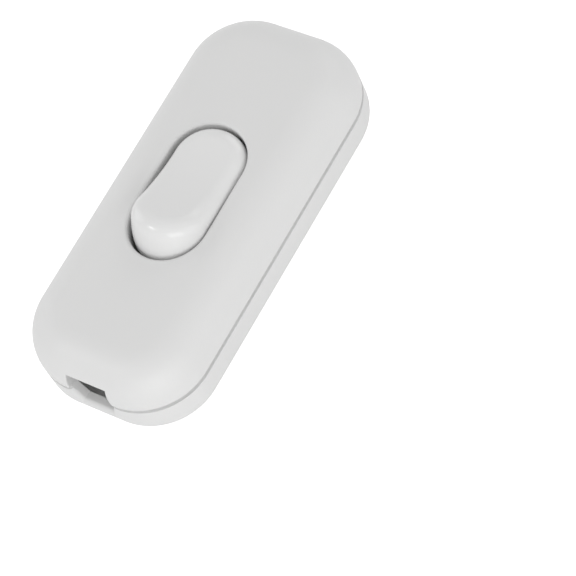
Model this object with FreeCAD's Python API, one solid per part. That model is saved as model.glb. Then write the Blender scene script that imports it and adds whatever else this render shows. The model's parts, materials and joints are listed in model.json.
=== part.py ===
import FreeCAD, Part
import math
import os

from FreeCAD import Vector

os.makedirs("parts", exist_ok=True)

# Inline cord switch, two poles. Millimetres, +X along the cord, +Z up, origin at the bottom centre.
# At rest the rocker's -X end is raised and its +X end is pressed.

# Casing, driving dimensions
casing_length = 64.5
casing_width = 28.5
casing_end_flat = 4.15
casing_height = 14.0
seam_height = 6.75
cover_rim_upright = 1.05
seam_groove_height = 0.8
seam_groove_depth = 0.55
base_edge_radius = 2.85
wall = 1.8
top_thickness = 1.8
floor_thickness = 1.8
lip_height = 1.2
lip_thickness = 0.75
lip_clearance = 0.1
lip_stop = 1.0

# Cord entries, cut half into each shell
entry_half_width = 3.75
entry_top_half_width = 3.45
entry_floor_half_width = 2.5
entry_drop = 3.05
entry_rise = 3.5
entry_cover_edge_radius = 0.2
entry_base_edge_radius = 0.8

# Rocker and its opening
opening_length = 23.47
opening_width = 12.67
opening_edge_radius = 0.5
collar_thickness = 1.3
collar_depth = 3.4
rocker_side_gap = 0.25
rocker_side_shift = 0.15
rocker_side_draft = 3.0
rocker_end_gap = 0.2
rocker_tilt = 10.5
rocker_dish_rise = 1.2
rocker_dish_radius = 25.5
rocker_edge_radius = 2.3
rocker_skirt = 1.7
rocker_wall = 1.4
rocker_lean_steps = 4
trunnion_radius = 1.0
trunnion_depth = 3.6
trunnion_seat_drop = 0.75
running_clearance = 0.05

# Contact gear, one set on each side of the middle
pole_offset = 3.2
strip_thickness = 0.7
strip_width = 3.4
lever_half_length = 7.0
lever_thickness = 0.7
lever_tilt = 6.0
lever_saddle_radius = 0.65
lever_rise = 0.22
fulcrum_neck = 0.9
contact_x = 5.8
contact_head_radius = 1.2
contact_head_height = 0.5
contact_shank_radius = 0.7
contact_gap = 0.05
strip_break = 3.0
fixed_strip_lead = 0.35
stake_x = 9.5
stake_radius = 0.55

# Plungers and springs
plunger_radius = 1.2
stem_wall = 0.85
spring_length = 2.8
spring_turns = 4
spring_wire = 0.32
spring_wire_sides = 8
plunger_mid_clearance = 0.06
bore_roof = 1.6

# Terminals
terminal_x = 12.3
terminal_length = 5.0
terminal_width = 4.2
terminal_height = 5.6
wire_hole_radius = 1.3
terminal_screw_radius = 1.15
terminal_head_radius = 1.9
terminal_head_height = 1.3
terminal_screw_lift = 0.7
fence_thickness = 0.9
fence_height = 3.8

# Cord clamps
clamp_setback = 5.4
clamp_width = 4.0
clamp_arch_radius = 3.8
clamp_thickness = 1.3
clamp_screw_offset = 7.1
clamp_boss_radius = 2.2
clamp_headroom = 0.9
clamp_screw_radius = 0.95
clamp_head_radius = 1.85
clamp_head_height = 1.2

# Casing screws, on one diagonal
casing_screw_inset = 2.7
casing_boss_radius = 2.8
casing_screw_radius = 1.2
casing_head_radius = 1.95
casing_head_height = 1.5
casing_head_recess = 1.2
casing_screw_cover_grip = 4.0

# Screw slots
slot_width = 0.6
slot_depth = 0.5

# Shared clearances, the run of cutters past what they cut, and the reach within which points are one
hole_clearance = 0.05
seat_gap = 0.1
cut_over = 1.0
same_place = 1e-3

# Worked out from the above
casing_corner_radius = casing_width / 2 - casing_end_flat
cover_edge_radius = casing_height - seam_height - cover_rim_upright
inner_half_length = casing_length / 2 - wall
inner_half_width = casing_width / 2 - wall
cover_rim_z = seam_height + seam_groove_height / 2
base_rim_z = seam_height - seam_groove_height / 2
entry_floor_z = seam_height - entry_drop
entry_top_z = seam_height + entry_rise
collar_bottom = casing_height - top_thickness - collar_depth
pivot_z = casing_height - trunnion_depth
strip_top = floor_thickness + strip_thickness
fixed_contact_top = strip_top + contact_head_height
fixed_strip_x = contact_x - contact_head_radius - fixed_strip_lead
sin_lever = math.sin(math.radians(lever_tilt))
cos_lever = math.cos(math.radians(lever_tilt))
lever_saddle_outer = lever_saddle_radius + lever_thickness
lever_z = (fixed_contact_top + contact_gap + (contact_x + contact_head_radius) * sin_lever
           + (contact_head_height - lever_rise) * cos_lever)
rocker_dish_z = casing_height + rocker_dish_rise
rocker_swing = opening_length / 2 - rocker_end_gap
rocker_lowest_z = pivot_z - rocker_skirt - rocker_swing * math.sin(math.radians(rocker_tilt))
plunger_ball_z = lever_z + lever_saddle_outer + plunger_radius + plunger_mid_clearance
bore_top = rocker_dish_z - bore_roof
plunger_shoulder_z = bore_top - spring_length
stem_bottom = plunger_ball_z + plunger_radius / 2
clamp_x = inner_half_length - clamp_setback
clamp_boss_top = casing_height - top_thickness - clamp_headroom - clamp_thickness - clamp_arch_radius
casing_screw_x = clamp_x - clamp_width / 2 - casing_boss_radius - 2 * seat_gap
casing_screw_y = inner_half_width - casing_screw_inset
casing_seat_z = casing_head_recess + casing_head_height
poles = {"left": pole_offset, "right": -pole_offset}
ends = {"near": -1, "far": 1}


def arc(start, middle, end):
    return Part.Arc(start, middle, end).toShape()


def line(start, end):
    return Part.LineSegment(start, end).toShape()


def box(x0, x1, y0, y1, z0, z1):
    """Box between two corners."""
    return Part.makeBox(x1 - x0, y1 - y0, z1 - z0, Vector(x0, y0, z0))


def cylinder_z(x, y, radius, z0, z1):
    return Part.makeCylinder(radius, z1 - z0, Vector(x, y, z0))


def cylinder_y(x, z, radius, y0, y1):
    return Part.makeCylinder(radius, y1 - y0, Vector(x, y0, z), Vector(0, 1, 0))


def rounded_outline(length, width, radius, z):
    """Closed wire at height z: a rectangle with round corners, or a stadium where they meet."""
    x = length / 2 - radius
    y = width / 2 - radius
    edges = []
    for quarter, (cx, cy) in enumerate([(x, -y), (x, y), (-x, y), (-x, -y)]):
        spread = [math.radians(90 * quarter + turn) for turn in (-90, -45, 0)]
        bend = [Vector(cx + radius * math.cos(t), cy + radius * math.sin(t), z) for t in spread]
        if edges and edges[-1].lastVertex(True).Point.distanceToPoint(bend[0]) > same_place:
            edges.append(line(edges[-1].lastVertex(True).Point, bend[0]))
        edges.append(arc(*bend))
    first = edges[0].firstVertex(True).Point
    last = edges[-1].lastVertex(True).Point
    if last.distanceToPoint(first) > same_place:
        edges.append(line(last, first))
    return Part.Wire(edges)


def rounded_prism(length, width, radius, z0, z1):
    face = Part.Face(rounded_outline(length, width, radius, z0))
    return face.extrude(Vector(0, 0, z1 - z0))


def stadium_prism(length, width, z0, z1):
    return rounded_prism(length, width, width / 2, z0, z1)


def edges_at(shape, z):
    """Edges that lie in the plane at height z."""
    return [e for e in shape.Edges if max(abs(e.BoundBox.ZMin - z), abs(e.BoundBox.ZMax - z)) < same_place]


def turned(shape, angle, z):
    """Shape turned about the line along +Y at height z; a positive angle lowers its +X end."""
    copy = shape.copy()
    copy.rotate(Vector(0, 0, z), Vector(0, 1, 0), angle)
    return copy


def slotted_screw(head_radius, head_height, shank_radius, shank_length):
    """Screw standing head up, with the head's underside at the origin."""
    head = cylinder_z(0, 0, head_radius, 0, head_height)
    head = head.makeChamfer(head_height / 4, edges_at(head, head_height))
    slot = box(-2 * head_radius, 2 * head_radius, -slot_width / 2, slot_width / 2,
               head_height - slot_depth, 2 * head_height)
    shank = cylinder_z(0, 0, shank_radius, -shank_length, 0)
    shank = shank.makeChamfer(shank_radius / 3, edges_at(shank, -shank_length))
    return head.cut(slot).fuse(shank).removeSplitter()


def entry_cutter(side):
    """Cord entry through one end wall, widest at the seam; its sides close in more below it than above."""
    depth = wall + lip_thickness + cover_edge_radius
    outside = side * (casing_length / 2 + cut_over)
    half = [(entry_floor_half_width, entry_floor_z), (entry_half_width, seam_height),
            (entry_top_half_width, entry_top_z)]
    profile = half + [(-y, z) for y, z in reversed(half)]
    points = [Vector(outside, y, z) for y, z in profile]
    face = Part.Face(Part.makePolygon(points + points[:1]))
    return face.extrude(Vector(-side * (depth + cut_over), 0, 0))


def entry_edges(shape):
    """Edges of the cord entries on the outside of a shell."""
    found = []
    for edge in shape.Edges:
        span = edge.BoundBox
        inside = max(abs(span.YMin), abs(span.YMax)) < entry_half_width + same_place
        outside = min(abs(span.XMin), abs(span.XMax)) > inner_half_length + wall / 2
        between = span.ZMin > entry_floor_z - same_place and span.ZMax < entry_top_z + same_place
        if inside and outside and between:
            found.append(edge)
    return found


def with_entries(block, edge_radius):
    """Block with a cord entry cut into each end, and the outer edges of the entries rounded."""
    for side in ends.values():
        block = block.cut(entry_cutter(side))
    return block.makeFillet(edge_radius, entry_edges(block))


def inner_prism(grow, z0, z1):
    """Block that follows the inside of the casing's wall, grown outwards."""
    return rounded_prism(2 * (inner_half_length + grow), 2 * (inner_half_width + grow),
                         casing_corner_radius - wall + grow, z0, z1)


def seam_rim(z0, z1):
    """The part of a shell's wall behind the groove along the seam."""
    rim = inner_prism(wall - seam_groove_depth, z0, z1)
    for side in ends.values():
        rim = rim.cut(entry_cutter(side))
    return rim


def cover_outer():
    block = rounded_prism(casing_length, casing_width, casing_corner_radius, cover_rim_z, casing_height)
    block = block.makeFillet(cover_edge_radius, edges_at(block, casing_height))
    return with_entries(block, entry_cover_edge_radius)


def cover_cavity():
    ceiling = casing_height - top_thickness
    block = inner_prism(0, seam_height - cut_over, ceiling)
    return block.makeFillet(ceiling - seam_height, edges_at(block, ceiling))


def lip_breaks(grow):
    """Blocks at the two ends, a little wider than the cord entries, where the lip stops."""
    half = entry_half_width + lip_stop + grow
    reach = casing_length / 2 + cut_over
    near = box(-reach, lip_thickness - inner_half_length, -half, half, seam_height, casing_height)
    return near.fuse(near.mirror(Vector(0, 0, 0), Vector(1, 0, 0)))


def cover_rebate():
    """Room for the base's lip round the inside of the cover's rim."""
    block = inner_prism(lip_thickness + lip_clearance, seam_height - cut_over,
                        seam_height + lip_height + lip_clearance)
    return block.cut(lip_breaks(0))


def cover_rebate_ring():
    """The lip with its clearance all round, as a ring."""
    return cover_rebate().cut(inner_prism(-lip_clearance, seam_height - cut_over, casing_height))


def bearing_slot():
    """Slots for the trunnions, open at the collar's lower edge."""
    radius = trunnion_radius + running_clearance
    reach = opening_width / 2 + collar_thickness + seat_gap
    slot = box(-radius, radius, -reach, reach, collar_bottom - cut_over, pivot_z)
    return slot.fuse(cylinder_y(0, pivot_z, radius, -reach, reach))


def casing_places():
    return [(-casing_screw_x, casing_screw_y), (casing_screw_x, -casing_screw_y)]


def cover():
    outer = cover_outer()
    shell = outer.fuse(seam_rim(seam_height, seam_height + seam_groove_height))
    shell = shell.cut(cover_cavity()).cut(cover_rebate())
    collar = stadium_prism(opening_length + 2 * collar_thickness, opening_width + 2 * collar_thickness,
                           collar_bottom, casing_height - top_thickness / 2)
    shell = shell.fuse(collar)
    for x, y in casing_places():
        boss = cylinder_z(x, y, casing_boss_radius, seam_height + seat_gap, casing_height).common(outer)
        shell = shell.fuse(boss.cut(cover_rebate_ring()))
    shell = shell.cut(stadium_prism(opening_length, opening_width, collar_bottom - cut_over,
                                    casing_height + cut_over))
    rim = [e for e in edges_at(shell, casing_height) if e.BoundBox.YMax < opening_width / 2 + same_place]
    rim = [e for e in rim if e.BoundBox.YMin > -opening_width / 2 - same_place]
    shell = shell.makeFillet(opening_edge_radius, rim)
    shell = shell.cut(bearing_slot())
    for x, y in casing_places():
        top = seam_height + casing_screw_cover_grip + seat_gap
        shell = shell.cut(cylinder_z(x, y, casing_screw_radius + hole_clearance, seam_height, top))
    return shell.removeSplitter()


def base_shell():
    block = rounded_prism(casing_length, casing_width, casing_corner_radius, 0, base_rim_z)
    block = block.makeFillet(base_edge_radius, edges_at(block, 0))
    block = with_entries(block, entry_base_edge_radius)
    lip_top = seam_height + lip_height
    lip = inner_prism(lip_thickness, floor_thickness, lip_top).cut(lip_breaks(lip_clearance))
    for side in ends.values():
        lip = lip.cut(entry_cutter(side))
    shell = block.fuse([seam_rim(seam_height - seam_groove_height, seam_height), lip])
    return shell.cut(inner_prism(0, floor_thickness, lip_top + cut_over))


def trunnion_post(side):
    """Post that closes one bearing slot from below, with a hollow for the trunnion in its tongue."""
    inner = opening_width / 2 + seat_gap
    outer = opening_width / 2 + collar_thickness - seat_gap
    half = trunnion_radius + running_clearance - seat_gap
    tongue_top = pivot_z - trunnion_seat_drop
    post = box(-2 * half, 2 * half, inner, outer, floor_thickness / 2, collar_bottom - seat_gap)
    post = post.fuse(box(-half, half, inner, outer, floor_thickness / 2, tongue_top))
    hollow_radius = trunnion_radius + running_clearance
    post = post.cut(cylinder_y(0, pivot_z, hollow_radius, inner - cut_over, outer + cut_over))
    if side < 0:
        post = post.mirror(Vector(0, 0, 0), Vector(0, 1, 0))
    return post


def pole_barrier():
    """Wall along the middle that keeps the two poles apart."""
    half = pole_offset - terminal_width / 2 - 4 * seat_gap
    reach = terminal_x + terminal_length
    return box(-reach, reach, -half, half, floor_thickness / 2, rocker_lowest_z - 4 * seat_gap)


def terminal_fences(side):
    """Ribs outside the two terminals at one end."""
    inner = pole_offset + terminal_width / 2 + seat_gap
    x0, x1 = sorted([side * terminal_x, side * (terminal_x + terminal_length)])
    rib = box(x0, x1, inner, inner + fence_thickness, floor_thickness / 2, floor_thickness + fence_height)
    return rib.fuse(rib.mirror(Vector(0, 0, 0), Vector(0, 1, 0)))


def cord_ribs(side):
    """Low ribs across the cord's way, under its clamp."""
    ribs = None
    for offset in (-clamp_width / 3, clamp_width / 3):
        x = side * clamp_x + offset
        rib = box(x - fence_thickness / 2, x + fence_thickness / 2, -entry_half_width, entry_half_width,
                  floor_thickness / 2, entry_floor_z)
        ribs = rib if ribs is None else ribs.fuse(rib)
    return ribs


def clamp_places():
    return [(s * clamp_x, t * clamp_screw_offset) for s in (-1, 1) for t in (-1, 1)]


def base():
    shell = base_shell()
    for side in ends.values():
        shell = shell.fuse(cord_ribs(side)).fuse(terminal_fences(side)).fuse(trunnion_post(side))
        for y in poles.values():
            stake_top = strip_top + strip_thickness / 2
            shell = shell.fuse(cylinder_z(side * stake_x, y, stake_radius, floor_thickness / 2, stake_top))
    shell = shell.fuse(pole_barrier())
    for x, y in clamp_places():
        shell = shell.fuse(cylinder_z(x, y, clamp_boss_radius, floor_thickness / 2, clamp_boss_top))
        shell = shell.cut(cylinder_z(x, y, clamp_screw_radius + hole_clearance, floor_thickness,
                                     clamp_boss_top + cut_over))
    for x, y in casing_places():
        shell = shell.fuse(cylinder_z(x, y, casing_boss_radius, floor_thickness / 2, seam_height))
        shell = shell.cut(cylinder_z(x, y, casing_head_radius + seat_gap, -cut_over, casing_seat_z))
        shell = shell.cut(cylinder_z(x, y, casing_screw_radius + hole_clearance, 0, seam_height + cut_over))
    return shell.removeSplitter()


def in_rocker(shape):
    """Shape tilted about the rocker's pivot, and moved with the rocker to one side of its play."""
    copy = turned(shape, rocker_tilt, pivot_z)
    copy.translate(Vector(0, -rocker_side_shift, 0))
    return copy


def rocker_body(inset, top_drop, bottom):
    """Stadium block under a top dished along X; inset moves its walls inwards, top_drop lowers the dish.

    Above the pivot the ends lean in along an arc about it, and the sides have a small draft.
    """
    foot_width = opening_width - 2 * (rocker_side_gap + inset)
    rim_rise = rocker_dish_radius - math.sqrt(rocker_dish_radius ** 2 - rocker_swing ** 2)
    height = rocker_dish_z + rim_rise - pivot_z
    foot_reach = math.sqrt(rocker_swing ** 2 - (pivot_z - bottom) ** 2) - inset
    sections = [rounded_outline(2 * foot_reach, foot_width, foot_width / 2, bottom)]
    for step in range(rocker_lean_steps + 1):
        rise = height * step / rocker_lean_steps
        reach = math.sqrt(rocker_swing ** 2 - rise ** 2) - inset
        width = foot_width - 2 * rise * math.tan(math.radians(rocker_side_draft))
        sections.append(rounded_outline(2 * reach, width, width / 2, pivot_z + rise))
    foot = Part.makeLoft(sections[:2], True, True)
    block = foot.fuse(Part.makeLoft(sections[1:], True, False)).removeSplitter()
    dish = cylinder_y(0, rocker_dish_z + rocker_dish_radius, rocker_dish_radius + top_drop,
                      -opening_width, opening_width)
    return block.cut(dish)


def dish_edges(shape):
    """Rim of the dished top."""
    rim = []
    centre_z = rocker_dish_z + rocker_dish_radius
    for edge in shape.Edges:
        places = [edge.valueAt(t) for t in (edge.FirstParameter, edge.LastParameter,
                                            (edge.FirstParameter + edge.LastParameter) / 2)]
        gaps = [abs(math.hypot(p.x, p.z - centre_z) - rocker_dish_radius) for p in places]
        if max(gaps) < same_place:
            rim.append(edge)
    return rim


def rocker():
    bottom = pivot_z - rocker_skirt
    body = rocker_body(0, 0, bottom)
    body = body.makeFillet(rocker_edge_radius, dish_edges(body))
    body = body.cut(rocker_body(rocker_wall, rocker_wall, bottom - cut_over))
    bore_radius = plunger_radius + running_clearance
    for y in poles.values():
        body = body.fuse(cylinder_z(0, y, bore_radius + stem_wall, stem_bottom, bore_top + bore_roof / 4))
    for y in poles.values():
        body = body.cut(cylinder_z(0, y, bore_radius, stem_bottom - cut_over, bore_top))
    inner = opening_width / 2 - rocker_side_gap - rocker_wall / 2
    outer = opening_width / 2 + collar_thickness - seat_gap
    for y0, y1 in ((inner, outer), (-outer, -inner)):
        body = body.fuse(cylinder_y(0, pivot_z, trunnion_radius, y0, y1))
    return in_rocker(body.removeSplitter())


def plunger(y):
    """Pin with a ball nose below and a spigot for the spring above."""
    ball = Part.makeSphere(plunger_radius, Vector(0, y, plunger_ball_z))
    body = cylinder_z(0, y, plunger_radius, plunger_ball_z, plunger_shoulder_z)
    spigot_radius = plunger_radius - 2 * spring_wire - 2 * seat_gap
    spigot = cylinder_z(0, y, spigot_radius, plunger_ball_z, plunger_shoulder_z + spring_length / 4)
    pin = ball.fuse(body).fuse(spigot).removeSplitter()
    return in_rocker(pin)


def plunger_spring(y):
    """Wire wound as a helix between the plunger's shoulder and the end of the stem's bore.

    The wire's section is a polygon inside its round one, which keeps the coil light.
    """
    wire_radius = spring_wire / 2
    coil_radius = plunger_radius - wire_radius - seat_gap / 2
    height = spring_length - spring_wire - seat_gap / 2
    helix = Part.makeHelix(height / spring_turns, height, coil_radius)
    turns = [2 * math.pi * side / spring_wire_sides for side in range(spring_wire_sides)]
    points = [Vector(coil_radius + wire_radius * math.cos(t), 0, wire_radius * math.sin(t)) for t in turns]
    section = Part.makePolygon(points + points[:1])
    coil = Part.Wire(helix.Edges).makePipeShell([section], True, True)
    coil.translate(Vector(0, y, plunger_shoulder_z + wire_radius + seat_gap / 4))
    return in_rocker(coil)


def contact_lever(y):
    """Seesaw blade: two flat wings and a round saddle that sits on the fulcrum."""
    wings = rounded_prism(2 * lever_half_length, strip_width, strip_width / 3,
                          lever_z + lever_rise, lever_z + lever_rise + lever_thickness)
    wings.translate(Vector(0, y, 0))
    y0 = y - strip_width / 2
    y1 = y + strip_width / 2
    saddle = cylinder_y(0, lever_z, lever_saddle_outer, y0, y1)
    blade = wings.fuse(saddle)
    blade = blade.cut(cylinder_y(0, lever_z, lever_saddle_radius, y0 - cut_over, y1 + cut_over))
    blade = blade.cut(box(-2 * lever_saddle_outer, 2 * lever_saddle_outer, y0 - cut_over, y1 + cut_over,
                          lever_z - 2 * lever_saddle_outer, lever_z))
    hole = cylinder_z(contact_x, y, contact_shank_radius + hole_clearance, lever_z,
                      lever_z + lever_rise + lever_thickness + cut_over)
    return turned(blade.cut(hole).removeSplitter(), -lever_tilt, lever_z)


def lever_contact(y):
    """Silver rivet: contact head under the blade, closing head above it."""
    low = lever_z + lever_rise
    high = low + lever_thickness
    head = cylinder_z(contact_x, y, contact_head_radius, low - contact_head_height, low)
    shank = cylinder_z(contact_x, y, contact_shank_radius, low, high)
    closing = cylinder_z(contact_x, y, (contact_head_radius + contact_shank_radius) / 2, high,
                         high + contact_head_height / 2)
    return turned(head.fuse(shank).fuse(closing).removeSplitter(), -lever_tilt, lever_z)


def terminal_block(side, y):
    """Tunnel terminal: the wire goes in along X, the screw comes down on it."""
    x0, x1 = sorted([side * terminal_x, side * (terminal_x + terminal_length)])
    top = floor_thickness + terminal_height
    block = box(x0, x1, y - terminal_width / 2, y + terminal_width / 2, floor_thickness, top)
    tunnel = Part.makeCylinder(wire_hole_radius, terminal_length + 2 * cut_over,
                               Vector(x0 - cut_over, y, strip_top + wire_hole_radius), Vector(1, 0, 0))
    screw_hole = cylinder_z((x0 + x1) / 2, y, terminal_screw_radius + hole_clearance,
                            strip_top + wire_hole_radius, top + cut_over)
    return block.cut(tunnel).cut(screw_hole)


def flat_strip(side, y, inner_x):
    """Strip on the floor from a terminal towards the middle, with a hole for its stake."""
    x0, x1 = sorted([inner_x, side * (terminal_x + terminal_length / 4)])
    strip = box(x0, x1, y - strip_width / 2, y + strip_width / 2, floor_thickness, strip_top)
    hole = cylinder_z(side * stake_x, y, stake_radius + hole_clearance, 0, strip_top + cut_over)
    return strip.cut(hole)


def pivot_terminal(y):
    """Incoming terminal, with the round-nosed fulcrum of the seesaw and the pip that stops it when open."""
    side = ends["near"]
    nose_radius = lever_saddle_radius - running_clearance
    strip = flat_strip(side, y, fixed_strip_x - strip_break)
    y0 = y - strip_width / 2
    y1 = y + strip_width / 2
    neck = box(-fulcrum_neck / 2, fulcrum_neck / 2, y0, y1, floor_thickness, lever_z)
    nose = cylinder_y(0, lever_z, nose_radius, y0, y1)
    pip_reach = contact_x + contact_shank_radius
    pip_top = lever_z - pip_reach * sin_lever + lever_rise * cos_lever - contact_gap
    pip = cylinder_z(side * contact_x, y, contact_shank_radius, floor_thickness, pip_top)
    return terminal_block(side, y).fuse([strip, neck, nose, pip]).removeSplitter()


def fixed_terminal(y):
    """Outgoing terminal, with the hole for its contact rivet."""
    side = ends["far"]
    strip = flat_strip(side, y, fixed_strip_x)
    hole = cylinder_z(contact_x, y, contact_shank_radius + hole_clearance, 0, strip_top + cut_over)
    return terminal_block(side, y).fuse(strip).cut(hole).removeSplitter()


def fixed_contact(y):
    head = cylinder_z(contact_x, y, contact_head_radius, strip_top, fixed_contact_top)
    shank = cylinder_z(contact_x, y, contact_shank_radius, floor_thickness, strip_top)
    return head.fuse(shank).removeSplitter()


def terminal_screws():
    """Four alike, standing a little proud of their terminals."""
    top = floor_thickness + terminal_height
    shank = terminal_height - strip_thickness - wire_hole_radius + terminal_screw_lift
    screw = slotted_screw(terminal_head_radius, terminal_head_height, terminal_screw_radius, shank)
    screws = []
    for side in ends.values():
        for y in poles.values():
            copy = screw.copy()
            copy.translate(Vector(side * (terminal_x + terminal_length / 2), y, top + terminal_screw_lift))
            screws.append(copy)
    return Part.makeCompound(screws)


def cord_clamp(side):
    """Bridge over the cord: a round arch between two feet with screw holes."""
    x0 = side * clamp_x - clamp_width / 2
    x1 = side * clamp_x + clamp_width / 2
    reach = clamp_screw_offset + clamp_boss_radius
    axis = Vector(1, 0, 0)
    centre = Vector(x0, 0, clamp_boss_top)
    feet = box(x0, x1, -reach, reach, clamp_boss_top, clamp_boss_top + clamp_thickness)
    arch = Part.makeCylinder(clamp_arch_radius + clamp_thickness, clamp_width, centre, axis)
    arch = arch.common(box(x0, x1, -reach, reach, clamp_boss_top, casing_height))
    tunnel = Part.makeCylinder(clamp_arch_radius, clamp_width, centre, axis)
    bridge = feet.fuse(arch).cut(tunnel)
    for y in (-clamp_screw_offset, clamp_screw_offset):
        bridge = bridge.cut(cylinder_z(side * clamp_x, y, clamp_screw_radius + hole_clearance, clamp_boss_top,
                                       clamp_boss_top + clamp_thickness + cut_over))
    return bridge.removeSplitter()


def clamp_screws():
    shank = clamp_thickness + clamp_boss_top - floor_thickness - 2 * seat_gap
    screw = slotted_screw(clamp_head_radius, clamp_head_height, clamp_screw_radius, shank)
    screws = []
    for x, y in clamp_places():
        copy = screw.copy()
        copy.translate(Vector(x, y, clamp_boss_top + clamp_thickness))
        screws.append(copy)
    return Part.makeCompound(screws)


def casing_screws():
    """Two alike, head down in the recesses of the underside."""
    shank = seam_height - casing_seat_z + casing_screw_cover_grip
    screw = slotted_screw(casing_head_radius, casing_head_height, casing_screw_radius, shank)
    screw.rotate(Vector(0, 0, 0), Vector(1, 0, 0), 180)
    screws = []
    for x, y in casing_places():
        copy = screw.copy()
        copy.translate(Vector(x, y, casing_seat_z))
        screws.append(copy)
    return Part.makeCompound(screws)


def save(name, shape):
    shape.exportStep("parts/" + name + ".step")


save("cover", cover())
save("base", base())
save("rocker", rocker())
save("terminal_screws", terminal_screws())
save("clamp_screws", clamp_screws())
save("casing_screws", casing_screws())
for end_name, end_side in ends.items():
    save("cord_clamp_" + end_name, cord_clamp(end_side))
pole_makers = {"plunger": plunger, "plunger_spring": plunger_spring, "contact_lever": contact_lever,
               "lever_contact": lever_contact, "pivot_terminal": pivot_terminal,
               "fixed_terminal": fixed_terminal, "fixed_contact": fixed_contact}
for pole_name, pole_y in poles.items():
    for piece_name, maker in pole_makers.items():
        save(piece_name + "_" + pole_name, maker(pole_y))
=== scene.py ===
# %% [markdown]
# # Dressing an inline cord switch
#
# The solids of the switch come in as a fixed frame: two white shells, a rocker between them, and the
# contact gear inside. This lesson gives each of them a finish, cuts real threads on the screws, winds the
# springs again as coils, and sets up a plain white table, soft light and a camera.

# %% Load the frame
import json
import math

import bmesh
import bpy
import numpy as np
from mathutils import Matrix, Vector


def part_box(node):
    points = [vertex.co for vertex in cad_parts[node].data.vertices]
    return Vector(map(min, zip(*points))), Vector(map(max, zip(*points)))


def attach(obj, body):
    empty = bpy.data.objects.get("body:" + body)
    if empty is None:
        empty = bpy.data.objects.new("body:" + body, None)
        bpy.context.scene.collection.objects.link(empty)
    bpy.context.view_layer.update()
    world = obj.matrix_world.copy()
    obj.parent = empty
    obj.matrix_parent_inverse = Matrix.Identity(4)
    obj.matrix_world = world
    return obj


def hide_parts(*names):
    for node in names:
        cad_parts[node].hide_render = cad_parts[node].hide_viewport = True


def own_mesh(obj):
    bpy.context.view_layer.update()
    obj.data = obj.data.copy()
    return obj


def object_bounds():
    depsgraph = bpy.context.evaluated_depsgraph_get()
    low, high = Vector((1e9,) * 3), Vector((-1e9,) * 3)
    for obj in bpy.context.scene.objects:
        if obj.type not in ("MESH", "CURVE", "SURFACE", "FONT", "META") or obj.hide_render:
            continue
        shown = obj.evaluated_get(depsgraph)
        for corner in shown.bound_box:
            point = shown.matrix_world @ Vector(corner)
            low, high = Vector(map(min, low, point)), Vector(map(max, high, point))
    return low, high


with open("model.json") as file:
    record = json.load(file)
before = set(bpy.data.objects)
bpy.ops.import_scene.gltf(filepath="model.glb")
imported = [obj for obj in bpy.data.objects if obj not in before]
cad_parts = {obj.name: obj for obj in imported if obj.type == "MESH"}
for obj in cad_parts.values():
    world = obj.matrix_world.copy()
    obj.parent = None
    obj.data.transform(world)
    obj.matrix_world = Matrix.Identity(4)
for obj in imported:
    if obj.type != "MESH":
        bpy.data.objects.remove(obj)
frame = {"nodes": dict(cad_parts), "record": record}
nodes = frame["nodes"]
cad_low, cad_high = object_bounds()
millimetre = 0.001


def spans_mm(low, high):
    """Sides of a box in millimetres, from its low and high corners in metres."""
    return [round((b - a) / millimetre, 2) for a, b in zip(low, high)]


print("loaded", len(nodes), "nodes, box in mm", spans_mm(cad_low, cad_high))

# %% [markdown]
# ## Writing shaders as sums
#
# A finish is a small sum: a base colour plus a little mottling, a roughness plus a little grain. Nodes
# drawn by hand hide that sum in a web of links. Here one class wraps a socket, so that `0.4 + 0.1 * grain`
# adds the Math nodes by itself, and one method makes every other kind of node.

# %% Sockets that can be added and multiplied


class Wire:
    """An output socket of a material's tree. Operators between wires and numbers add Math nodes."""

    def __init__(self, tree, socket=None):
        self.tree = tree
        self.socket = socket

    def node(self, kind, settings=None, inputs=None, out=0):
        """New node of a kind: its settings first, then its inputs by name or number; gives one output."""
        made = self.tree.nodes.new(kind)
        for name, value in (settings or {}).items():
            setattr(made, name, value)
        for key, value in (inputs or {}).items():
            if isinstance(value, Wire):
                self.tree.links.new(value.socket, made.inputs[key])
            else:
                made.inputs[key].default_value = value
        return Wire(self.tree, made.outputs[out] if len(made.outputs) else None)

    def math(self, operation, first, second):
        return self.node("ShaderNodeMath", {"operation": operation}, {0: first, 1: second})

    def __add__(self, other):
        return self.math("ADD", self, other)

    def __sub__(self, other):
        return self.math("SUBTRACT", self, other)

    def __mul__(self, other):
        return self.math("MULTIPLY", self, other)

    def __rsub__(self, other):
        return self.math("SUBTRACT", other, self)

    __radd__ = __add__
    __rmul__ = __mul__


print("a wire adds, subtracts and multiplies")

# %% [markdown]
# ## The start and the end of a finish
#
# Every finish here begins the same way, with an empty tree and the place of each point on its piece, and ends
# the same way, with one shader and the output. In between come clouds of noise and a blend of two colours.
# These four helpers keep the finishes below down to a few lines.

# %% Helpers for finishes
white = (1.0, 1.0, 1.0, 1.0)
# The Mix node has sockets for every kind of value; these are the numbers of the ones for colours.
mix_share, mix_low, mix_high, mix_result = 0, 6, 7, 2
noise_middle = 0.5


def noise(start, place, per_metre, detail):
    """Cloudy values about a half, with so many clouds to the metre."""
    return start.node("ShaderNodeTexNoise", None, {"Vector": place, "Scale": per_metre, "Detail": detail})


def blend(start, share, low, high):
    """The colour that is low where share is 0 and high where it is 1."""
    colours = {mix_share: share, mix_low: (*low, 1.0), mix_high: (*high, 1.0)}
    return start.node("ShaderNodeMix", {"data_type": "RGBA"}, colours, out=mix_result)


def empty_material(name):
    """A material with an empty tree, the wire to build on, and the place of each point on its piece."""
    material = bpy.data.materials.new(name)
    material.use_nodes = True
    tree = material.node_tree
    tree.nodes.clear()
    start = Wire(tree)
    place = start.node("ShaderNodeTexCoord", out="Object")
    return material, start, place


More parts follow.
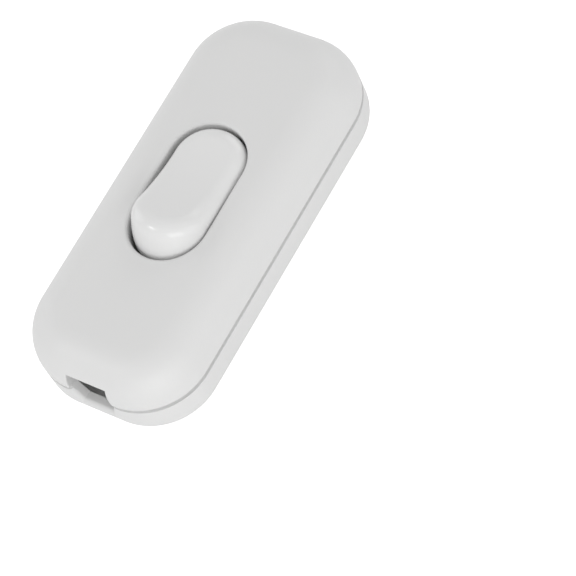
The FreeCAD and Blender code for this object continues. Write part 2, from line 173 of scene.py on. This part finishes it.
def close_material(start, fixed, varying):
    """The Principled shader: fixed values set on its sockets, varying ones linked, then the output."""
    shader = start.node("ShaderNodeBsdfPrincipled", None, {**fixed, **varying})
    start.node("ShaderNodeOutputMaterial", None, {"Surface": shader})


print("noise varies about", noise_middle)

# %% [markdown]
# ## White moulded plastic
#
# The shells are moulded in a stiff white plastic, from a tool with a fine spark-eroded skin: light spreads
# softly on it, and the colour wanders by a hair from place to place. The rocker comes from a polished tool,
# so it is smoother. One function makes both, with the grain's height and the gloss as its sizes.

# %% Plastics
plastic_ior = 1.5
clouds_per_metre, cloud_detail = 45.0, 3.0
grains_per_metre, grain_detail = 5200.0, 1.0
darkest_cloud = 0.965
cloud_gloss, grain_gloss = 0.10, 0.06
grain_strength = 0.35


def moulded_plastic(name, colour, roughness, grain_height):
    """Plastic with broad faint clouds of tone and a fine grain in its skin."""
    material, start, place = empty_material(name)
    clouds = noise(start, place, clouds_per_metre, cloud_detail)
    grain = noise(start, place, grains_per_metre, grain_detail)
    darker = tuple(darkest_cloud * c for c in colour)
    tone = blend(start, clouds, darker, colour)
    gloss = roughness + cloud_gloss * (clouds - noise_middle) + grain_gloss * (grain - noise_middle)
    relief = {"Strength": grain_strength, "Distance": grain_height, "Height": grain}
    skin = start.node("ShaderNodeBump", None, relief)
    close_material(start, {"IOR": plastic_ior}, {"Base Color": tone, "Roughness": gloss, "Normal": skin})
    return material


shell_plastic = moulded_plastic("shell_plastic", (0.76, 0.76, 0.757), 0.46, 0.00003)
rocker_plastic = moulded_plastic("rocker_plastic", (0.80, 0.80, 0.797), 0.20, 0.00001)
clamp_plastic = moulded_plastic("clamp_plastic", (0.76, 0.76, 0.75), 0.55, 0.00004)
print("plastics:", [m.name for m in (shell_plastic, rocker_plastic, clamp_plastic)])

# %% [markdown]
# ## Metals of the contact gear
#
# Inside are stamped brass strips, silver rivets, zinc-plated screws and spring wire. Stamped strip shows
# the rolling direction as long faint streaks, so its noise is stretched along the strip by a Mapping node.
# The other metals have no such direction, so theirs is left as it is.

# %% Metals
streak_detail = 4.0
streak_gloss = 0.18
streak_strength, streak_height = 0.25, 0.00001
along_strip = (0.08, 1.0, 1.0)
all_ways = (1.0, 1.0, 1.0)


def worked_metal(name, colour, dull, roughness, stretch, streaks_per_metre):
    """Metal with streaks: noise stretched along one direction tints it and changes its gloss."""
    material, start, place = empty_material(name)
    drawn = start.node("ShaderNodeMapping", None, {"Vector": place, "Scale": stretch})
    streaks = noise(start, drawn, streaks_per_metre, streak_detail)
    tone = blend(start, streaks, dull, colour)
    gloss = roughness + streak_gloss * (streaks - noise_middle)
    relief = {"Strength": streak_strength, "Distance": streak_height, "Height": streaks}
    skin = start.node("ShaderNodeBump", None, relief)
    close_material(start, {"Metallic": 1.0}, {"Base Color": tone, "Roughness": gloss, "Normal": skin})
    return material


brass = worked_metal("stamped_brass", (0.82, 0.63, 0.30), (0.62, 0.45, 0.20), 0.32, along_strip, 3000.0)
silver = worked_metal("contact_silver", (0.86, 0.85, 0.82), (0.72, 0.70, 0.66), 0.28, all_ways, 2500.0)
zinc = worked_metal("zinc_plate", (0.72, 0.72, 0.74), (0.58, 0.58, 0.60), 0.36, all_ways, 1800.0)
spring_finish = worked_metal("spring_wire", (0.62, 0.62, 0.64), (0.48, 0.48, 0.50), 0.30, all_ways, 2600.0)
print("metals:", [m.name for m in (brass, silver, zinc, spring_finish)])

# %% [markdown]
# ## A finish for every solid
#
# The frame's record names a material slot for each solid, such as brass for a contact strip. One table from
# slots to finishes dresses them all, so that a new solid in a known slot would need no new line here.

# %% Give every solid its finish
finishes = {"casing_white": shell_plastic, "rocker_white": rocker_plastic, "clamp_white": clamp_plastic,
            "brass": brass, "silver": silver, "plated_steel": zinc, "spring_steel": spring_finish}
for part in frame["record"]["subparts"]:
    solid = nodes[part["node"]]
    solid.data.materials.clear()
    solid.data.materials.append(finishes[part["material_slot"]])

# %% [markdown]
# ## Shapes from sheets
#
# A sheet is a grid of points given by a formula: rows of points on circles, or straight rows. A fine thread
# could be a screw modifier or a cut, but a sheet gives each point its place at once, and the formula can be
# read. The sheets of a piece lie edge to edge; welding the points that meet there closes the piece.

# %% Sheets


def arc_sheet(radii, heights, angles):
    """Rows of points on circles: a height for each row, and a radius and an angle for each point."""
    radii = np.reshape(radii, (len(radii), -1))
    heights = np.reshape(heights, (-1, 1))
    return np.stack(np.broadcast_arrays(radii * np.cos(angles), radii * np.sin(angles), heights), axis=-1)


def ruled_sheet(widths, offsets, heights, columns):
    """Straight rows along X: half a width, an offset along Y and a height for each row."""
    share = np.linspace(1.0, -1.0, columns)
    widths, offsets, heights = (np.reshape(v, (-1, 1)) for v in (widths, offsets, heights))
    return np.stack(np.broadcast_arrays(widths * share, offsets, heights), axis=-1)


def sheet_quads(sheet, start):
    """Corner numbers of the squares of a sheet whose first point has the number start."""
    rows, columns = sheet.shape[:2]
    number = start + np.arange(rows * columns).reshape(rows, columns)
    corners = [number[:-1, :-1], number[1:, :-1], number[1:, 1:], number[:-1, 1:]]
    return np.stack(corners, axis=-1).reshape(-1, 4)


trial = ruled_sheet([1.0, 1.0, 1.0], [0.0, 1.0, 2.0], 0.0, 5)
print("a sheet of", trial.shape[0], "by", trial.shape[1], "points has", len(sheet_quads(trial, 0)), "squares")

# %% Closed pieces
weld_reach = 1e-6
sharp_angle = math.radians(30.0)


def new_piece(name, points, quads, finish):
    """Object of points in metres, with the edges of its sheets welded and its faces turned outwards."""
    mesh = bpy.data.meshes.new(name)
    mesh.from_pydata(points.tolist(), [], quads.tolist())
    welded = bmesh.new()
    welded.from_mesh(mesh)
    bmesh.ops.remove_doubles(welded, verts=welded.verts, dist=weld_reach)
    bmesh.ops.recalc_face_normals(welded, faces=welded.faces)
    welded.to_mesh(mesh)
    welded.free()
    mesh.polygons.foreach_set("use_smooth", np.ones(len(mesh.polygons), bool))
    mesh.set_sharp_from_angle(angle=sharp_angle)
    mesh.materials.append(finish)
    piece = bpy.data.objects.new(name, mesh)
    bpy.context.scene.collection.objects.link(piece)
    open_edges = 2 * len(mesh.edges) - len(mesh.loops)
    triangles = len(mesh.loops) - 2 * len(mesh.polygons)
    print(name, triangles, "triangles,", open_edges, "open edges")
    return piece


print("points closer than", weld_reach / millimetre, "mm are welded")

# %% [markdown]
# ## A threaded screw
#
# A solid screw is a slotted head on a plain pin. To cut its thread, the screw is made again out of sheets.
# The head's slot splits its top into two lands. Each land is a flat sheet, an edge sheet and one wall of the
# slot; a half turn makes the second land. The slot's floor and the body below it close the screw: its columns
# stand at the same angles as the ends of the lands, so all the edges meet. The shank's radius dips along a
# helix: the dip moves by one pitch for each turn.

# %% Head
slot_width, slot_depth = 0.6, 0.5
land_columns = 33
slot_columns = 5
chamfer_share = 1 / 4


def slotted_head(head_radius, head_height):
    """Sheets of the head above the slot's floor, that floor's height, and the angles that the body needs.

    A land is bounded by the circle and by a straight line half a slot from the middle, so it starts at the
    angle whose sine is that half over the radius.
    """
    half = slot_width / 2
    floor = head_height - slot_depth
    chamfer = chamfer_share * head_height
    rim = np.array([head_radius - chamfer, head_radius, head_radius])
    rise = np.array([head_height, head_height - chamfer, floor])
    start = np.arcsin(half / rim)
    first = start[-1]
    edge = arc_sheet(rim, rise, np.linspace(start, np.pi - start, land_columns, axis=1))
    chord = ruled_sheet(np.sqrt(rim[:1] ** 2 - half ** 2), half, head_height, land_columns)
    land = np.concatenate([chord, edge[:1]])
    wall = ruled_sheet(np.sqrt(rim[::-1] ** 2 - half ** 2), half, rise[::-1], land_columns)
    mouth = np.linspace(-first, first, slot_columns)
    bottom = ruled_sheet(head_radius * np.cos(mouth), head_radius * np.sin(mouth), floor, land_columns)
    half_round = np.concatenate([mouth[:-1], np.linspace(first, np.pi - first, land_columns)])
    angles = np.concatenate([half_round[:-1], half_round + np.pi])
    half_turn = np.array([-1.0, -1.0, 1.0])
    sheets = [land, edge, wall, land * half_turn, edge * half_turn, wall * half_turn, bottom]
    return sheets, floor, angles


print("a head has", len(slotted_head(2.0, 1.5)[0]), "sheets")

# %% Thread
rows_a_pitch = 12
groove_steepness, groove_crest = 1.5, 0.25
taper_share = 1 / 3


def threaded_screw(head_radius, head_height, shank_radius, shank_length, pitch, depth):
    """Sheets of a screw that stands head up, with the underside of the head at height 0.

    Going round, the thread's phase grows by one a turn; going down, by one a pitch. The radius dips where the
    phase is near a half, and it narrows at the tip.
    """
    head, floor, angles = slotted_head(head_radius, head_height)
    down = np.linspace(0.0, shank_length, int(round(rows_a_pitch * shank_length / pitch)))[:, None]
    phase = (down / pitch + angles / (2 * np.pi)) % 1.0
    wave = 1.0 - np.abs(2.0 * phase - 1.0)
    dip = np.clip(groove_steepness * wave - groove_crest, 0.0, 1.0)
    fade = np.clip(np.minimum(down, shank_length - down) / pitch, 0.0, 1.0)
    taper = taper_share * shank_radius
    narrowing = np.clip((down - shank_length) / taper + 1.0, 0.0, 1.0) * taper
    shank = shank_radius - depth * dip * fade - narrowing
    wide = np.full((2, len(angles)), head_radius)
    tip = np.zeros((1, len(angles)))
    heights = np.concatenate([[floor, 0.0], -down[:, 0], [-shank_length]])
    body = arc_sheet(np.concatenate([wide, shank, tip]), heights, angles)
    return head + [body]


print("a thread has", rows_a_pitch, "rows of points a pitch")

# %% [markdown]
# ## Screws in their places
#
# Four screws hold the wires in the terminals, four hold the cord's clamps, and two close the casing from
# underneath, head down. Each group is one piece with copies of one screw. The places come from the boxes of
# the solids, so each new screw stands exactly where the plain one stood.

# %% Copies of a screw


def place_screws(name, sheets, places, head_down):
    """One piece with a copy of the screw at each place, in millimetres; it stands for the solid node."""
    numbers = np.cumsum([0] + [s.shape[0] * s.shape[1] for s in sheets])
    points = np.concatenate([s.reshape(-1, 3) for s in sheets])
    if head_down:
        points = points * np.array([1.0, -1.0, -1.0])
    quads = np.concatenate([sheet_quads(s, n) for s, n in zip(sheets, numbers)])
    places = np.asarray(places, float)
    all_points = (points[None] + places[:, None]).reshape(-1, 3) * millimetre
    all_quads = (quads[None] + len(points) * np.arange(len(places))[:, None, None]).reshape(-1, 4)
    piece = new_piece(name + "_threaded", all_points, all_quads, zinc)
    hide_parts(name)
    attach(piece, "casing")


four_corners = [(-1, -1), (-1, 1), (1, -1), (1, 1)]
two_corners = [(-1, 1), (1, -1)]
# Head radius and height, shank radius, pitch and thread depth in millimetres; corners; whether head down.
screw_kinds = {"terminal_screws": (1.9, 1.3, 1.15, 0.5, 0.28, four_corners, False),
               "clamp_screws": (1.85, 1.2, 0.95, 0.8, 0.25, four_corners, False),
               "casing_screws": (1.95, 1.5, 1.2, 1.0, 0.32, two_corners, True)}
for name, (head_radius, head_height, shank_radius, pitch, depth, corners, head_down) in screw_kinds.items():
    low, high = (np.array(corner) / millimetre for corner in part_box(name))
    x, y = high[0] - head_radius, high[1] - head_radius
    seat = low[2] + head_height if head_down else high[2] - head_height
    shank_length = high[2] - seat if head_down else seat - low[2]
    screw = threaded_screw(head_radius, head_height, shank_radius, shank_length, pitch, depth)
    place_screws(name, screw, [(a * x, b * y, seat) for a, b in corners], head_down)

# %% [markdown]
# ## Springs wound as coils
#
# Each plunger is pushed out of the rocker by a small coil spring. The solid spring is wound again as a sheet
# along the bore, and its length with the plunger pushed in is worked out from the plunger's travel. The bore's
# direction comes from the plunger's joint, and the length and width from the solid spring.

# %% Winding
spring_turns = 4
wire_width = 0.32 * millimetre
steps_a_turn = 36
wire_columns = 17


def coil_sheet(coil_radius, rise):
    """Round wire along a helix: the middle turns and rises, and a circle of points stands square to it."""
    share = np.linspace(0.0, 1.0, steps_a_turn * spring_turns + 1)[:, None]
    turn = 2 * np.pi * spring_turns * share
    lean = np.arctan2(rise, 2 * np.pi * spring_turns * coil_radius)
    around = np.linspace(0.0, 2 * np.pi, wire_columns)
    reach = coil_radius + wire_width / 2 * np.cos(around)
    lift = wire_width / 2 * np.sin(around)
    tube = np.stack([reach * np.cos(turn) + lift * np.sin(lean) * np.sin(turn),
                     reach * np.sin(turn) - lift * np.sin(lean) * np.cos(turn),
                     rise * share + lift * np.cos(lean)], axis=-1)
    middles = tube[:, :-1].mean(axis=1, keepdims=True) * np.ones((1, wire_columns, 1))
    return np.concatenate([middles[:1], tube, middles[-1:]])


print("a spring has", spring_turns, "turns of", round(wire_width / millimetre, 2), "mm wire")

# %% Springs in their bores
joints = {j["name"]: j for j in frame["record"]["behaviour"]["joints"]}
pivot = np.array(joints["rocker_tilt"]["pos_m"])
across = np.array([0.0, 1.0, 0.0])
for side in ("left", "right"):
    name = "plunger_spring_" + side
    slide = joints["plunger_%s_slide" % side]
    bore = np.array(slide["axis"])
    solid_points = np.empty(3 * len(nodes[name].data.vertices))
    nodes[name].data.vertices.foreach_get("co", solid_points)
    solid_points = solid_points.reshape(-1, 3)
    along = (solid_points - pivot) @ bore
    y_low, y_high = solid_points[:, 1].min(), solid_points[:, 1].max()
    length = along.max() - along.min()
    coil = coil_sheet((y_high - y_low - wire_width) / 2, length - wire_width)
    middle = pivot + across * (y_low + y_high) / 2
    foot = middle + bore * (along.min() + wire_width / 2)
    points = coil.reshape(-1, 3) @ np.array([np.cross(across, bore), across, bore]) + foot
    piece = new_piece(name + "_coil", points, sheet_quads(coil, 0), spring_finish)
    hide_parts(name)
    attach(piece, "rocker")
    1.0 - slide["range_m"][1] / length
    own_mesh(piece)
    pressed = length - slide["range_m"][1]
    print(name, round(length / millimetre, 2), "mm long,", round(pressed / millimetre, 2), "mm when pressed")

# %% [markdown]
# ## A white table
#
# The switch lies on a white table. A lamp bright enough to turn the table white would bleach the switch too,
# so the table glows a little instead, for the camera's own rays and for those that come by way of a mirror or
# glass. For all other rays it is a plain matt white, and it keeps a faint shadow under the switch. It lies a
# hair below the switch, so that the two faces don't share a plane.

# %% Table
table_half = 1.5
table_drop = 0.00005
table_grey = 0.86
camera_glow, mirror_glow = 0.70, 0.35


def background_rays(start):
    """Two wires: 1 for the camera's own rays, and 1 for rays that come by way of a mirror or glass; else 0."""
    seen, mirrored, through = (start.node("ShaderNodeLightPath", out="Is %s Ray" % kind)
                               for kind in ("Camera", "Glossy", "Transmission"))
    return seen, start.math("MINIMUM", mirrored + through, 1.0)


table_mesh = bpy.data.meshes.new("table")
corners = table_half * np.array([(-1, -1, 0), (1, -1, 0), (1, 1, 0), (-1, 1, 0)]) - (0, 0, table_drop)
table_mesh.from_pydata(corners.tolist(), [], [(0, 1, 2, 3)])
table = bpy.data.objects.new("table", table_mesh)
bpy.context.scene.collection.objects.link(table)
table_finish = bpy.data.materials.new("table_white")
table_finish.use_nodes = True
table_finish.node_tree.nodes.clear()
start = Wire(table_finish.node_tree)
seen, sent_on = background_rays(start)
matt = start.node("ShaderNodeBsdfDiffuse", None, {"Color": (table_grey, table_grey, table_grey, 1.0)})
level = camera_glow * seen + mirror_glow * sent_on
glow = start.node("ShaderNodeEmission", None, {"Color": white, "Strength": level})
both = start.node("ShaderNodeAddShader", None, {0: matt, 1: glow})
start.node("ShaderNodeOutputMaterial", None, {"Surface": both})
table_mesh.materials.append(table_finish)
print("table", 2 * table_half, "m across")

# %% [markdown]
# ## Even light with two highlights
#
# White plastic shows its form by soft steps of grey, so most of the light comes from the whole room, and five
# wide lamps around the switch shade its sides. Two of them stand where the raised end of the rocker mirrors
# them to the camera: the key light by the near right corner, and a small one high on the left. A single strong
# lamp would be simpler, but it would draw hard shadows.

# %% Room
room_level = 0.61
world = bpy.data.worlds.new("room")
bpy.context.scene.world = world
world.use_nodes = True
world.node_tree.nodes.clear()
start = Wire(world.node_tree)
seen, sent_on = background_rays(start)
level = room_level + (1.0 - room_level) * (seen + sent_on)
sky = start.node("ShaderNodeBackground", None, {"Color": white, "Strength": level})
start.node("ShaderNodeOutputWorld", None, {"Surface": sky})
print("room level", room_level)

# %% Lamps


def soft_box(name, place, aim, width, height, watts):
    """Rectangular lamp at a place, turned to an aim."""
    lamp = bpy.data.lights.new(name, "AREA")
    lamp.shape = "RECTANGLE"
    lamp.size = width
    lamp.size_y = height
    lamp.energy = watts
    made = bpy.data.objects.new(name, lamp)
    bpy.context.scene.collection.objects.link(made)
    made.location = place
    made.rotation_euler = (Vector(place) - Vector(aim)).to_track_quat("Z", "Y").to_euler()


# Place, width and height in metres, and power in watts.
lamps = {"key_light": ((-0.338, -0.326, 0.179), 0.36, 0.27, 0.68),
         "small_light": ((-0.302, 0.196, 0.355), 0.13, 0.09, 0.27),
         "side_light": ((0.0, -0.5, 0.18), 0.35, 0.35, 0.30),
         "far_light": ((0.5, 0.0, 0.18), 0.35, 0.35, 0.44),
         "left_light": ((0.0, 0.5, 0.18), 0.35, 0.35, 0.38)}
switch_middle = (Vector(cad_low) + Vector(cad_high)) / 2
for name, (place, width, height, watts) in lamps.items():
    soft_box(name, place, switch_middle, width, height, watts)
print("lamps:", list(lamps))

# %% [markdown]
# ## The camera
#
# A product picture is taken from some way off with a long lens, so that the far end hardly shrinks. The camera
# stands at a direction and a distance from an aim point and is rolled about its line of sight. Its three axes
# are worked out from these, because a tracking constraint would not allow the roll.

# %% Camera
picture_width = 576
focal_pixels = 2774.35
film_width = 36.0
nearest_seen = 0.01
sight_azimuth = math.radians(-35.22)
sight_elevation = math.radians(56.828)
sight_roll = math.radians(-29.019)
sight_distance = 0.39709
aim = Vector((-0.00589, -0.01871, 0.0070))
back = Vector((math.sin(sight_azimuth) * math.cos(sight_elevation),
               -math.cos(sight_azimuth) * math.cos(sight_elevation), math.sin(sight_elevation)))
sideways = Vector((math.cos(sight_azimuth), math.sin(sight_azimuth), 0.0))
upright = back.cross(sideways)
turned = Matrix((sideways, upright, back)).transposed().to_4x4() @ Matrix.Rotation(sight_roll, 4, "Z")
camera_data = bpy.data.cameras.new("camera")
camera_data.sensor_width = film_width
camera_data.lens = film_width * focal_pixels / picture_width
camera_data.clip_start = nearest_seen
camera = bpy.data.objects.new("camera", camera_data)
bpy.context.scene.collection.objects.link(camera)
camera.matrix_world = Matrix.Translation(aim + sight_distance * back) @ turned
bpy.context.scene.camera = camera
bpy.context.scene.view_settings.view_transform = "Standard"
print("camera at", [round(c, 4) for c in camera.matrix_world.translation], "lens", round(camera_data.lens, 1))
